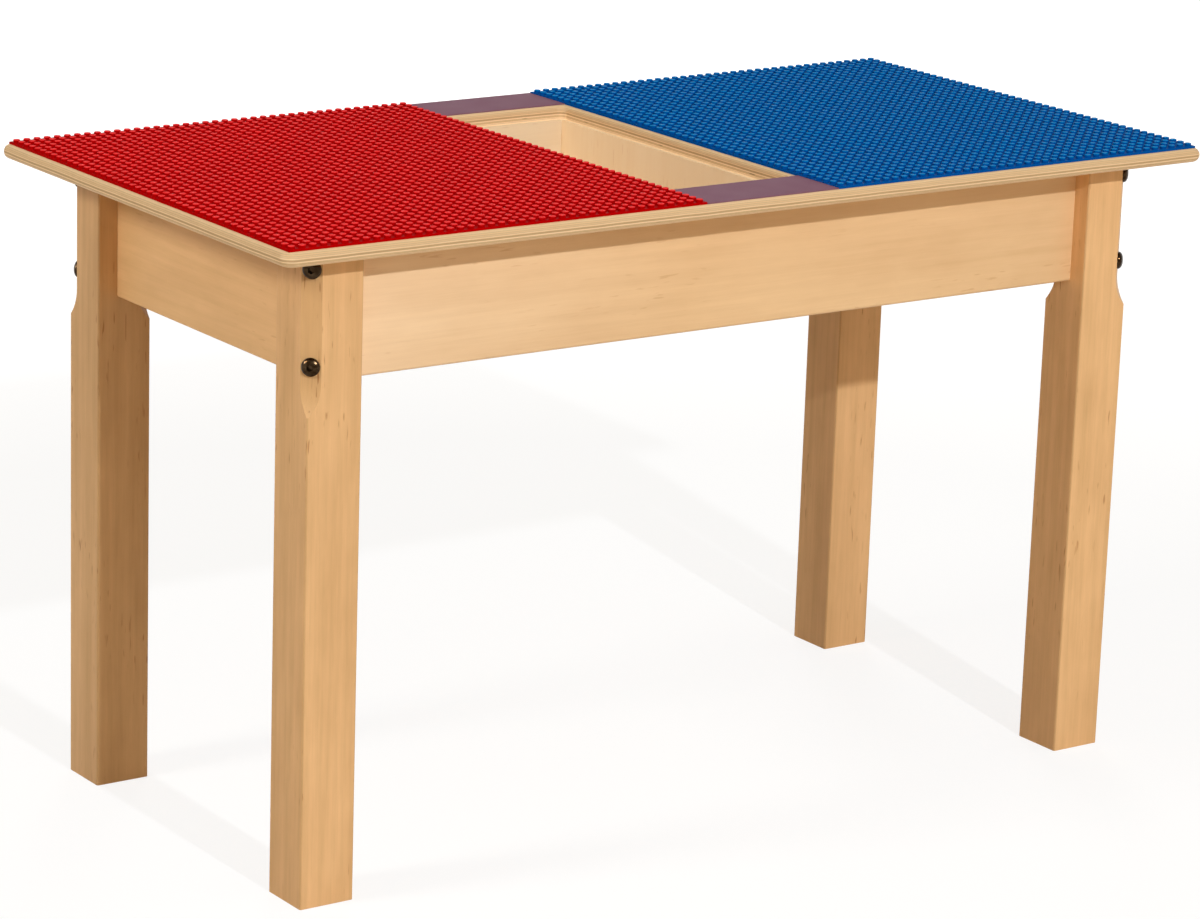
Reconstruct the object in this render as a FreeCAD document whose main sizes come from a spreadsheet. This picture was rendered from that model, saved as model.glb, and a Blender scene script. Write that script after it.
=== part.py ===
"""Child's play table: a plywood top with two fields of studded plates and a storage well between them,
on four bolted legs. Millimetres, +X along the table, +Y to its back, +Z up, origin on the floor
under its middle."""
import FreeCAD, Part
import math
import os

import Sketcher

Vec = FreeCAD.Vector

# Driving dimensions of the table
SIZES = {
    # Studded plates, 41 by 24 studs each on a pitch of 8, and the bare strips between them
    "plate_length": 328.0,
    "plate_width": 192.0,
    "plate_thick": 1.6,
    "plate_seam": 0.2,
    "centre_gap": 112.0,
    "strip_thick": 0.8,
    # Plywood top
    "top_rim": 5.0,
    "top_thick": 10.0,
    "top_corner": 9.0,
    "top_edge_flat": 0.5,
    "opening_rim": 4.0,
    "opening_corner": 6.0,
    "opening_round": 3.5,
    # Legs, with a stopped chamfer on the outer and the inner corner
    "overhang_end": 38.0,
    "overhang_front": 34.0,
    "leg_width": 41.6,
    "leg_length": 451.5,
    "leg_ease": 1.5,
    "chamfer_cut": 10.0,
    "chamfer_flat": 89.5,
    "runout_radius": 35.0,
    # Aprons
    "apron_recess": 15.0,
    "apron_thick": 10.0,
    "apron_height": 91.0,
    "apron_ease": 2.0,
    # Corner braces, with the bolts and insert nuts that hold the legs to them
    "brace_margin": 12.0,
    "brace_cover": 3.0,
    "brace_seat": 0.2,
    "bolt_first": 12.0,
    "bolt_spacing": 65.0,
    "bolt_dia": 6.0,
    "bolt_clear": 0.5,
    "bolt_past": 1.5,
    "bolt_room": 1.5,
    "head_dia": 12.7,
    "head_height": 3.6,
    "head_flat_dia": 6.4,
    "socket_width": 4.0,
    "socket_depth": 2.4,
    "insert_dia": 10.0,
    "insert_length": 14.0,
    "insert_clear": 0.2,
    # Storage well, its floor let into grooves
    "ledge": 3.0,
    "wall_thick": 10.0,
    "wall_lift": 3.0,
    "floor_foot": 6.0,
    "floor_thick": 5.0,
    "floor_clear": 0.3,
    "groove_depth": 4.0,
    "groove_clear": 0.2,
    "block_width": 14.0,
    "block_height": 70.0,
    # Glue cleats under the top
    "cleat_width": 14.0,
    "cleat_gap": 24.0,
}

# Sizes worked out from them, as expressions that every piece shares
FIELD_X = "(2 * dim.plate_length + dim.centre_gap)"
FIELD_Y = "(2 * dim.plate_width)"
TOP_X = f"({FIELD_X} + 2 * dim.top_rim)"
TOP_Y = f"({FIELD_Y} + 2 * dim.top_rim)"
TOP_FACE = "(dim.leg_length + dim.top_thick)"
TOP_ROUND = "((dim.top_thick - dim.top_edge_flat) / 2)"

# Leg axes from the table's middle, and the aprons' faces outwards from a leg's axis
LEG_X = f"({TOP_X} / 2 - dim.overhang_end - dim.leg_width / 2)"
LEG_Y = f"({TOP_Y} / 2 - dim.overhang_front - dim.leg_width / 2)"
APRON_OUT = "(dim.leg_width / 2 - dim.apron_recess)"
APRON_MID = f"({APRON_OUT} - dim.apron_thick / 2)"
APRON_IN = f"({APRON_OUT} - dim.apron_thick)"
LONG_APRON_INNER = f"({LEG_Y} + {APRON_IN})"

# Along a leg's diagonal, from its axis: the chamfers' flats, and the brace behind the inner one
FLAT_OUT = "((dim.leg_width - dim.chamfer_cut) / sqrt(2))"
INSERT_HOLE_DEPTH = "(dim.insert_length + dim.bolt_past + dim.bolt_room)"
BRACE_FRONT = f"({FLAT_OUT} + dim.brace_seat)"
BRACE_BACK = f"({BRACE_FRONT} + {INSERT_HOLE_DEPTH} + dim.brace_cover)"
BRACE_HEIGHT = "(dim.bolt_first + dim.bolt_spacing + dim.brace_margin)"
BOLT_HOLE = "(dim.bolt_dia + dim.bolt_clear)"

# The well's opening in the top, and the well under it
OPENING_X = "(dim.centre_gap - 2 * dim.opening_rim)"
OPENING_Y = f"(2 * ({LONG_APRON_INNER} + dim.ledge))"
WELL_X = f"({OPENING_X} - 2 * dim.ledge)"
WELL_OUTER_X = f"({WELL_X} + 2 * dim.wall_thick)"
WALL_HEIGHT = "(dim.apron_height - dim.wall_lift)"
STRIP_Y = f"(({FIELD_Y} - {OPENING_Y}) / 2 - dim.opening_rim)"

# Along the table from its middle: the well's glue blocks end, and the corner braces begin
BLOCK_END = f"({WELL_OUTER_X} / 2 + dim.block_width)"
BRACE_END = f"({LEG_X} - {APRON_IN} - sqrt(2) * {BRACE_BACK})"

# The four corners: name, side along X, side along Y
CORNERS = (("front_left", -1, -1), ("front_right", 1, -1), ("back_right", 1, 1), ("back_left", -1, 1))
SIDES = (("left", -1), ("right", 1))
ENDS = (("front", -1), ("back", 1))
Z_AXIS = Vec(0, 0, 1)
LEVEL = 1e-6

doc = FreeCAD.newDocument("play_table")
dim = doc.addObject("Spreadsheet::Sheet", "dim")
for row, (alias, number) in enumerate(SIZES.items(), start=1):
    dim.set(f"A{row}", alias)
    dim.set(f"B{row}", str(number))
    dim.setAlias(f"B{row}", alias)
doc.recompute()

nodes = []


def value(expression):
    """The number that an expression on the sheet gives now."""
    return float(dim.evalExpression(expression))


def keep(piece, label):
    """Name a finished piece and put it on the list of pieces to write."""
    piece.Label = label
    nodes.append(piece)
    return piece


def place(piece, x="0", y="0", z="0", turn=0.0):
    """Turn a piece about Z and tie its place to the sheet."""
    piece.Placement = FreeCAD.Placement(Vec(), FreeCAD.Rotation(Z_AXIS, turn))
    for axis, expression in (("x", x), ("y", y), ("z", z)):
        piece.setExpression(f"Placement.Base.{axis}", expression)


def new_body(name):
    return doc.addObject("PartDesign::Body", name)


def new_sketch(body, role, name, lift=None, spin=0.0):
    """A sketch on one of the body's own origin planes, lifted along its normal and spun in its plane."""
    plane = next(feature for feature in body.Origin.OriginFeatures if feature.Role == role)
    sketch = body.newObject("Sketcher::SketchObject", name)
    sketch.AttachmentSupport = [(plane, "")]
    sketch.MapMode = "FlatFace"
    sketch.AttachmentOffset = FreeCAD.Placement(Vec(), FreeCAD.Rotation(Z_AXIS, spin))
    if lift is not None:
        sketch.setExpression("AttachmentOffset.Base.z", lift)
    return sketch


def tie(sketch, expression, kind, *where):
    """Add a dimension to a sketch and bind it to the sheet."""
    index = sketch.addConstraint(Sketcher.Constraint(kind, *where, value(expression)))
    sketch.setExpression(f"Constraints[{index}]", expression)


def outline(sketch, corners, arcs=()):
    """A closed outline through corners, each an (x, y) pair of expressions.

    arcs maps the number of an edge to the expressions of its arc's centre. Every corner is tied by its
    distances from the origin, but an arc's far end by one of them, across the arc, as its radius gives
    the other.
    """
    arcs = dict(arcs)
    points = [Vec(value(x), value(y), 0) for x, y in corners]
    count = len(points)
    for i, start in enumerate(points):
        end = points[(i + 1) % count]
        if i in arcs:
            centre = Vec(*(value(part) for part in arcs[i]), 0)
            first = math.atan2(start.y - centre.y, start.x - centre.x)
            last = math.atan2(end.y - centre.y, end.x - centre.x)
            turn = math.remainder(last - first, 2 * math.pi)
            low, high = (first, last) if turn > 0 else (last, first)
            circle = Part.Circle(centre, Z_AXIS, (start - centre).Length)
            sketch.addGeometry(Part.ArcOfCircle(circle, low, high if high > low else high + 2 * math.pi))
            arcs[i] = (arcs[i], turn > 0)
        else:
            sketch.addGeometry(Part.LineSegment(start, end))

    def end_of(i, at_start):
        """Which end of edge i lies at its start or at its finish along the outline."""
        forward = arcs[i][1] if i in arcs else True
        return 1 if forward == at_start else 2

    for i in range(count):
        after = (i + 1) % count
        joined = Sketcher.Constraint("Coincident", i, end_of(i, False), after, end_of(after, True))
        sketch.addConstraint(joined)
    for i, (x, y) in enumerate(corners):
        before = (i - 1) % count
        beside = False
        if before in arcs:
            centre = Vec(*(value(part) for part in arcs[before][0]), 0)
            beside = abs(points[i].x - centre.x) > abs(points[i].y - centre.y)
        if not beside:
            tie(sketch, x, "DistanceX", -1, 1, i, end_of(i, True))
        if beside or before not in arcs:
            tie(sketch, y, "DistanceY", -1, 1, i, end_of(i, True))
    for i, (centre, _) in arcs.items():
        tie(sketch, centre[0], "DistanceX", -1, 1, i, 3)
        tie(sketch, centre[1], "DistanceY", -1, 1, i, 3)


def rounded_rectangle(sketch, width, depth, radius):
    """A rectangle about the origin with equal round corners."""
    half_w, half_d, r = value(width) / 2, value(depth) / 2, value(radius)
    for _, sx, sy in CORNERS:
        along_x = sx * sy > 0
        start = Vec(sx * (half_w - r * along_x), sy * (half_d - r * (not along_x)), 0)
        end = Vec(-start.x, start.y, 0) if along_x else Vec(start.x, -start.y, 0)
        sketch.addGeometry(Part.LineSegment(start, end))
    for number, (_, sx, sy) in enumerate(CORNERS):
        circle = Part.Circle(Vec(sx * (half_w - r), sy * (half_d - r), 0), Z_AXIS, r)
        first = math.pi + number * math.pi / 2
        sketch.addGeometry(Part.ArcOfCircle(circle, first, first + math.pi / 2))
    for line in range(4):
        arc, after = 4 + line, 4 + (line + 1) % 4
        sketch.addConstraint(Sketcher.Constraint("Tangent", line, 1, arc, 2))
        sketch.addConstraint(Sketcher.Constraint("Tangent", line, 2, after, 1))
        sketch.addConstraint(Sketcher.Constraint("Vertical" if line % 2 else "Horizontal", line))
    for arc in (5, 6, 7):
        sketch.addConstraint(Sketcher.Constraint("Equal", 4, arc))
    sketch.addConstraint(Sketcher.Constraint("Symmetric", 4, 3, 6, 3, -1, 1))
    tie(sketch, radius, "Radius", 4)
    tie(sketch, width, "DistanceX", 3, 1, 1, 1)
    tie(sketch, depth, "DistanceY", 0, 1, 2, 1)


def circles(sketch, centres, diameter):
    """Equal circles, each tied to its own place."""
    for number, (x, y) in enumerate(centres):
        circle = Part.Circle(Vec(value(x), value(y), 0), Z_AXIS, value(diameter) / 2)
        sketch.addGeometry(circle)
        tie(sketch, x, "DistanceX", -1, 1, number, 3)
        tie(sketch, y, "DistanceY", -1, 1, number, 3)
        tie(sketch, diameter, "Diameter", number)


def pad(body, sketch, name, length, symmetric=False):
    feature = body.newObject("PartDesign::Pad", name)
    feature.Profile = sketch
    feature.SideType = "Symmetric" if symmetric else "One side"
    feature.setExpression("Length", length)
    doc.recompute()
    return feature


def pocket(body, sketch, name, depth=None):
    """Cut a sketch out of the body, through it both ways or to a depth, and see that it cuts something."""
    before = body.Shape.Volume
    feature = body.newObject("PartDesign::Pocket", name)
    feature.Profile = sketch
    if depth is None:
        feature.Type = "ThroughAll"
        feature.SideType = "Symmetric"
    else:
        feature.setExpression("Length", depth)
    doc.recompute()
    if not body.Shape.Volume < before:
        raise ValueError(f"{body.Name}: {name} cuts nothing")
    return feature


def revolve(body, sketch, name):
    """Turn a half profile about the sketch's own X axis."""
    feature = body.newObject("PartDesign::Revolution", name)
    feature.Profile = sketch
    feature.ReferenceAxis = (sketch, ["H_Axis"])
    feature.Angle = 360
    doc.recompute()
    return feature


def round_edges(body, base, name, edges, radius):
    """Fillet the given edges of a feature."""
    listed = [f"Edge{i + 1}" for i, e in enumerate(base.Shape.Edges) if any(e.isSame(o) for o in edges)]
    feature = body.newObject("PartDesign::Fillet", name)
    feature.Base = (base, listed)
    feature.setExpression("Radius", radius)
    doc.recompute()
    return feature


def flat_face(shape, height):
    """The level face of a shape at a height."""
    for face in shape.Faces:
        box = face.BoundBox
        if box.ZLength < LEVEL and abs(box.ZMin - height) < LEVEL:
            return face
    raise ValueError(f"no level face at {height}")


def block(label, x, y, z):
    """A rectangular block that stands on the middle of its underside."""
    body = new_body(label)
    sketch = new_sketch(body, "XY_Plane", f"{label}_plan")
    outline(sketch, [(f"{sx} * {x} / 2", f"{sy} * {y} / 2") for _, sx, sy in CORNERS])
    pad(body, sketch, f"{label}_stock", z)
    return keep(body, label)


def table_top():
    """Plywood sheet with a bullnose edge and the well's opening, its upper edge rounded over."""
    body = new_body("table_top")
    sheet = new_sketch(body, "XY_Plane", "top_plan")
    rounded_rectangle(sheet, TOP_X, TOP_Y, "dim.top_corner")
    pad(body, sheet, "top_sheet", "dim.top_thick")
    hole = new_sketch(body, "XY_Plane", "opening_plan")
    rounded_rectangle(hole, OPENING_X, OPENING_Y, "dim.opening_corner")
    opening = pocket(body, hole, "opening")
    upper = flat_face(opening.Shape, value("dim.top_thick"))
    lower = flat_face(opening.Shape, 0.0)
    rim = upper.OuterWire.Edges + lower.OuterWire.Edges
    bullnose = round_edges(body, opening, "bullnose", rim, TOP_ROUND)
    upper = flat_face(bullnose.Shape, value("dim.top_thick"))
    inner = [e for wire in upper.Wires if not wire.isSame(upper.OuterWire) for e in wire.Edges]
    round_edges(body, bullnose, "opening_edge", inner, "dim.opening_round")
    place(body, z="dim.leg_length")
    keep(body, "table_top")


def plates():
    """Four studded plates, two of each colour, on the top's face with a fine seam all round."""
    for colour, side in (("red", -1), ("blue", 1)):
        for end, toward in ENDS:
            plate = block(f"{colour}_plate_{end}", "(dim.plate_length - dim.plate_seam)",
                          "(dim.plate_width - dim.plate_seam)", "dim.plate_thick")
            middle = f"{side} * (dim.centre_gap + dim.plate_length) / 2"
            place(plate, middle, f"{toward} * dim.plate_width / 2", TOP_FACE)


def centre_strips():
    """Two bare strips that fill the space between the plates in front of and behind the opening."""
    for end, toward in ENDS:
        strip = block(f"centre_strip_{end}", "(dim.centre_gap - dim.plate_seam)", STRIP_Y, "dim.strip_thick")
        place(strip, y=f"{toward} * ({FIELD_Y} - {STRIP_Y}) / 2", z=TOP_FACE)


def apron(label, length):
    """A board on edge along X, its two lower edges eased."""
    body = new_body(label)
    section = new_sketch(body, "YZ_Plane", f"{label}_section")
    half, ease, high = "(dim.apron_thick / 2)", "dim.apron_ease", "dim.apron_height"
    corners = [(f"-{half} + {ease}", "0"), (f"{half} - {ease}", "0"), (half, ease), (half, high),
               (f"-{half}", high), (f"-{half}", ease)]
    arcs = {1: (f"{half} - {ease}", ease), 5: (f"-{half} + {ease}", ease)}
    outline(section, corners, arcs)
    pad(body, section, f"{label}_board", length, symmetric=True)
    return keep(body, label)


def aprons():
    """Boards between the legs, set back from the legs' outer faces."""
    low = "dim.leg_length - dim.apron_height"
    for end, toward in ENDS:
        board = apron(f"apron_{end}", f"2 * {LEG_X} - dim.leg_width")
        place(board, y=f"{toward} * ({LEG_Y} + {APRON_MID})", z=low)
    for side, toward in SIDES:
        board = apron(f"apron_{side}", f"2 * {LEG_Y} - dim.leg_width")
        place(board, x=f"{toward} * ({LEG_X} + {APRON_MID})", z=low, turn=90.0)


def at_corner(piece, sx, sy, z="0"):
    """Put a piece on a leg's axis with its X along the outward diagonal."""
    place(piece, f"{sx} * {LEG_X}", f"{sy} * {LEG_Y}", z, math.degrees(math.atan2(sy, sx)))


def bolt_heights(foot):
    """Heights of a leg's two bolts above a level, upper one first."""
    upper = f"dim.leg_length - {foot} - dim.bolt_first"
    return upper, f"{upper} - dim.bolt_spacing"


def leg(corner):
    """A square post drawn on its diagonal: stopped chamfers outside and inside, and two bolt holes across."""
    body = new_body(f"leg_{corner}")
    section = new_sketch(body, "XY_Plane", f"leg_section_{corner}", spin=45.0)
    rounded_rectangle(section, "dim.leg_width", "dim.leg_width", "dim.leg_ease")
    pad(body, section, f"leg_post_{corner}", "dim.leg_length")
    # A round cutter sinks to the chamfer's flat and is drawn up out of the corner at its lower end
    profile = new_sketch(body, "XZ_Plane", f"chamfer_profile_{corner}")
    stop = "(dim.leg_length - dim.chamfer_flat)"
    axle = f"({FLAT_OUT} + dim.runout_radius)"
    corners = [(FLAT_OUT, "dim.leg_length"), (FLAT_OUT, stop), (axle, f"{stop} - dim.runout_radius"),
               (axle, "dim.leg_length")]
    outline(profile, corners, {1: (axle, stop)})
    outer = pocket(body, profile, f"outer_chamfer_{corner}")
    inner = body.newObject("PartDesign::Mirrored", f"inner_chamfer_{corner}")
    inner.Originals = [outer]
    plane = next(feature for feature in body.Origin.OriginFeatures if feature.Role == "YZ_Plane")
    inner.MirrorPlane = (plane, [""])
    body.Tip = inner
    doc.recompute()
    drill = new_sketch(body, "YZ_Plane", f"leg_bolt_places_{corner}")
    circles(drill, [("0", height) for height in bolt_heights("0")], BOLT_HOLE)
    pocket(body, drill, f"leg_bolt_holes_{corner}")
    return keep(body, f"leg_{corner}")


def corner_brace(corner):
    """A mitred block from apron to apron behind the leg, bored from the leg's side for the insert nuts."""
    label = f"corner_brace_{corner}"
    body = new_body(label)
    plan = new_sketch(body, "XY_Plane", f"{label}_plan")
    front, back = (f"({along} + sqrt(2) * {APRON_IN})" for along in (BRACE_FRONT, BRACE_BACK))
    outline(plan, [(f"-{BRACE_BACK}", back), (f"-{BRACE_BACK}", f"-{back}"),
                   (f"-{BRACE_FRONT}", f"-{front}"), (f"-{BRACE_FRONT}", front)])
    pad(body, plan, f"{label}_stock", BRACE_HEIGHT)
    drill = new_sketch(body, "YZ_Plane", f"{label}_insert_places", lift=f"-{BRACE_FRONT}")
    foot = f"(dim.leg_length - {BRACE_HEIGHT})"
    circles(drill, [("0", height) for height in bolt_heights(foot)], "dim.insert_dia + dim.insert_clear")
    pocket(body, drill, f"{label}_insert_holes", INSERT_HOLE_DEPTH)
    return keep(body, label)


def leg_bolt():
    """A button-head socket bolt along X, from the leg's outer chamfer to just past the insert nut."""
    body = new_body("bolt_piece")
    profile = new_sketch(body, "XZ_Plane", "bolt_profile")
    tip = f"(-{BRACE_FRONT} - dim.insert_length - dim.bolt_past)"
    crown = f"({FLAT_OUT} + dim.head_height)"
    outline(profile, [(tip, "0"), (tip, "dim.bolt_dia / 2"), (FLAT_OUT, "dim.bolt_dia / 2"),
                      (FLAT_OUT, "dim.head_dia / 2"), (crown, "dim.head_flat_dia / 2"), (crown, "0")])
    revolve(body, profile, "bolt_blank")
    recess = new_sketch(body, "YZ_Plane", "socket_plan", lift=crown)
    reach = "(dim.socket_width / sqrt(3))"
    outline(recess, [(f"{reach} * cos({60 * i})", f"{reach} * sin({60 * i})") for i in range(6)])
    pocket(body, recess, "socket", "dim.socket_depth")
    return body


def insert_nut():
    """A threaded insert along X, flush with the brace's face against the leg."""
    body = new_body("insert_piece")
    profile = new_sketch(body, "XZ_Plane", "insert_profile")
    bore, outer = "(dim.bolt_dia + dim.insert_clear) / 2", "dim.insert_dia / 2"
    mouth, end = f"-{BRACE_FRONT}", f"(-{BRACE_FRONT} - dim.insert_length)"
    outline(profile, [(end, bore), (mouth, bore), (mouth, outer), (end, outer)])
    revolve(body, profile, "insert_blank")
    return body


def group(label, piece, places):
    """One node of equal fasteners: a link to the piece at each corner and height, as separate solids."""
    links = []
    for number, (sx, sy, height) in enumerate(places):
        link = doc.addObject("App::Link", f"{label}_{number}")
        link.LinkedObject = piece
        at_corner(link, sx, sy, height)
        links.append(link)
    compound = doc.addObject("Part::Compound", label)
    compound.Links = links
    keep(compound, label)


def corners_with_bolts():
    """Legs and braces at the four corners, with their bolts and insert nuts."""
    bolt_places = []
    for corner, sx, sy in CORNERS:
        at_corner(leg(corner), sx, sy)
        at_corner(corner_brace(corner), sx, sy, f"dim.leg_length - {BRACE_HEIGHT}")
        bolt_places += [(sx, sy, height) for height in bolt_heights("0")]
    group("leg_bolts", leg_bolt(), bolt_places)
    group("insert_nuts", insert_nut(), bolt_places)


def well_side(side, toward):
    """A wall from apron to apron, grooved along its inner face for the well's floor."""
    label = f"well_side_{side}"
    wall = block(label, "dim.wall_thick", f"(2 * {LONG_APRON_INNER})", WALL_HEIGHT)
    groove = new_sketch(wall, "XZ_Plane", f"{label}_groove_section")
    face = f"{-toward} * dim.wall_thick / 2"
    bed = f"{-toward} * (dim.wall_thick / 2 - dim.groove_depth)"
    roof = "dim.floor_foot + dim.floor_thick + dim.groove_clear"
    outline(groove, [(bed, "dim.floor_foot"), (face, "dim.floor_foot"), (face, roof), (bed, roof)])
    pocket(wall, groove, f"{label}_groove")
    place(wall, x=f"{toward} * ({WELL_X} + dim.wall_thick) / 2", z=f"dim.leg_length - {WALL_HEIGHT}")


def storage_well():
    """Side walls between the long aprons, which close the well's ends, with a floor in their grooves."""
    for side, toward in SIDES:
        well_side(side, toward)
    floor = block("well_floor", f"({WELL_X} + 2 * dim.groove_depth - 2 * dim.groove_clear)",
                  f"(2 * {LONG_APRON_INNER} - 2 * dim.floor_clear)", "dim.floor_thick")
    place(floor, z=f"dim.leg_length - {WALL_HEIGHT} + dim.floor_foot")
    for corner, sx, sy in CORNERS:
        glue_block = block(f"well_block_{corner}", "dim.block_width", "dim.block_width", "dim.block_height")
        place(glue_block, f"{sx} * ({BLOCK_END} - dim.block_width / 2)",
              f"{sy} * ({LONG_APRON_INNER} - dim.block_width / 2)", "dim.leg_length - dim.block_height")


def cleats():
    """Glue cleats in the angle between the long aprons and the top, from the well's blocks to the braces."""
    length = f"({BRACE_END} - {BLOCK_END} - 2 * dim.cleat_gap)"
    for corner, sx, sy in CORNERS:
        cleat = block(f"top_cleat_{corner}", length, "dim.cleat_width", "dim.cleat_width")
        place(cleat, f"{sx} * ({BRACE_END} + {BLOCK_END}) / 2",
              f"{sy} * ({LONG_APRON_INNER} - dim.cleat_width / 2)", "dim.leg_length - dim.cleat_width")


def write_nodes():
    """Check every object of the document, then write each piece to its own file."""
    doc.recompute()
    for item in doc.Objects:
        if "Invalid" in item.State or "Error" in item.State:
            raise ValueError(f"{item.Name} failed: {item.State}")
    for piece in nodes:
        if piece.Shape.isNull() or not piece.Shape.isValid():
            raise ValueError(f"{piece.Label} has no valid shape")
    os.makedirs("parts", exist_ok=True)
    for piece in nodes:
        piece.Shape.exportStep(f"parts/{piece.Label}.step")
        print(f"{piece.Label}: {len(piece.Shape.Solids)} solids, {piece.Shape.Volume / 1000:.1f} cm3")


table_top()
plates()
centre_strips()
aprons()
corners_with_bolts()
storage_well()
cleats()
write_nodes()
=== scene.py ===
"""Looks of a child's play table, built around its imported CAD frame.

Sizes are in metres and in the CAD frame: +X along the table, +Y to its back, +Z up, and the
origin on the floor.
"""

import logging
import math
from dataclasses import dataclass, replace
from enum import Enum
from typing import Any

import bpy
import numpy as np
from mathutils import Matrix, Vector

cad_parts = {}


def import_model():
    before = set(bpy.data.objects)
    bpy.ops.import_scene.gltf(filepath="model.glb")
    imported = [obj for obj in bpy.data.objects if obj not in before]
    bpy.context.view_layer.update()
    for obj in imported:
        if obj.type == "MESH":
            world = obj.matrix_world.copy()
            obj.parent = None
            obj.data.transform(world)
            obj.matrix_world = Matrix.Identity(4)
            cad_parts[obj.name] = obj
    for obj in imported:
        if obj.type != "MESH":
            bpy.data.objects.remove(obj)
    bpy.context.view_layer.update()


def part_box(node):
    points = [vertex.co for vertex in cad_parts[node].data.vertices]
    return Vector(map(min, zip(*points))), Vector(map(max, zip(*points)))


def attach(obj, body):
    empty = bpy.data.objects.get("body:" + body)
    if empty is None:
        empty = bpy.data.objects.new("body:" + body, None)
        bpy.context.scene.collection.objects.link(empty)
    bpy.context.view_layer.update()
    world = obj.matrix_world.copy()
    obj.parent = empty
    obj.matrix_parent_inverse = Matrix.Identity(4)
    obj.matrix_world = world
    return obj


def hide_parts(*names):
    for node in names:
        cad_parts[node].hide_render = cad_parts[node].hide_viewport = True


Colour = tuple[float, float, float]
Place = tuple[float, float, float]
Band = tuple[float, float]
Faces = list[list[int]]
Inputs = dict[Any, Any]
Socket = bpy.types.NodeSocket

BODY = "root"
# Each corner's name, and the side of the table's middle that it lies on along X and along Y.
CORNERS = {"front_left": (-1, -1), "front_right": (1, -1),
           "back_right": (1, 1), "back_left": (-1, 1)}
ENDS = ("front", "back")
SIDES = ("left", "right")
SHARP_ANGLE = math.radians(38)
MERGE_STEP = 1e-7
WHITE: Colour = (1.0, 1.0, 1.0)
UNIT: Band = (0.0, 1.0)
# The range that most of a noise's values lie in.
MIDDLE: Band = (0.3, 0.7)
RANGE_SOCKETS = ("Value", "From Min", "From Max", "To Min", "To Max")

log = logging.getLogger("play_table")


class Grain(Enum):
    """The axis that a piece's wood grain runs along."""

    ALONG_X = 0
    ALONG_Y = 1
    ALONG_Z = 2

    def stretch(self, along: float) -> tuple[float, ...]:
        """A pattern's scale on each axis: below 1 along the grain, it draws the pattern out."""
        return tuple(along if axis == self.value else 1.0 for axis in range(3))


class LampUse(Enum):
    """Which of a surface's answers to light a lamp shows in."""

    FULL = "full"
    GLOSS = "gloss"
    MATT = "matt"


@dataclass(frozen=True)
class Noise:
    """One fractal noise of a finish.

    Along draws it out along the grain where it is below 1. The weight is its share in a tone.
    """

    scale: float
    detail: float = 2.0
    roughness: float = 0.5
    along: float = 1.0
    weight: float = 0.0


@dataclass(frozen=True)
class Relief:
    """How strongly a bump shows and how deep it is."""

    strength: float
    depth: float


def opaque(colour: Any) -> Any:
    """A colour with full alpha; a socket is passed on as it is."""
    return colour if isinstance(colour, bpy.types.NodeSocket) else (*colour, 1.0)


def toned(colour: Colour, tone: float) -> Colour:
    """A colour made darker, or lighter where the tone is above 1."""
    red, green, blue = colour
    return tone * red, tone * green, tone * blue


def feed(tree: bpy.types.NodeTree, socket: Socket, value: Any) -> None:
    """Link a socket to another, or set its value.

    Args:
        tree: The tree that the socket is in.
        socket: The input to feed.
        value: A number, vector or colour, or the output that feeds it.
    """
    if isinstance(value, bpy.types.NodeSocket):
        tree.links.new(value, socket)
    else:
        socket.default_value = value


def add_node(tree: bpy.types.NodeTree, kind: str, inputs: Inputs | None = None,
             **settings: Any) -> bpy.types.Node:
    """Add a node to a tree.

    Args:
        tree: The tree that the node goes into.
        kind: The node's type name.
        inputs: Socket name or number, and the value or the socket that feeds it.
        settings: Values of the node's own properties.

    Returns:
        The new node.
    """
    node = tree.nodes.new(kind)
    for name, setting in settings.items():
        setattr(node, name, setting)
    for socket, value in (inputs or {}).items():
        feed(tree, node.inputs[socket], value)
    return node


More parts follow.
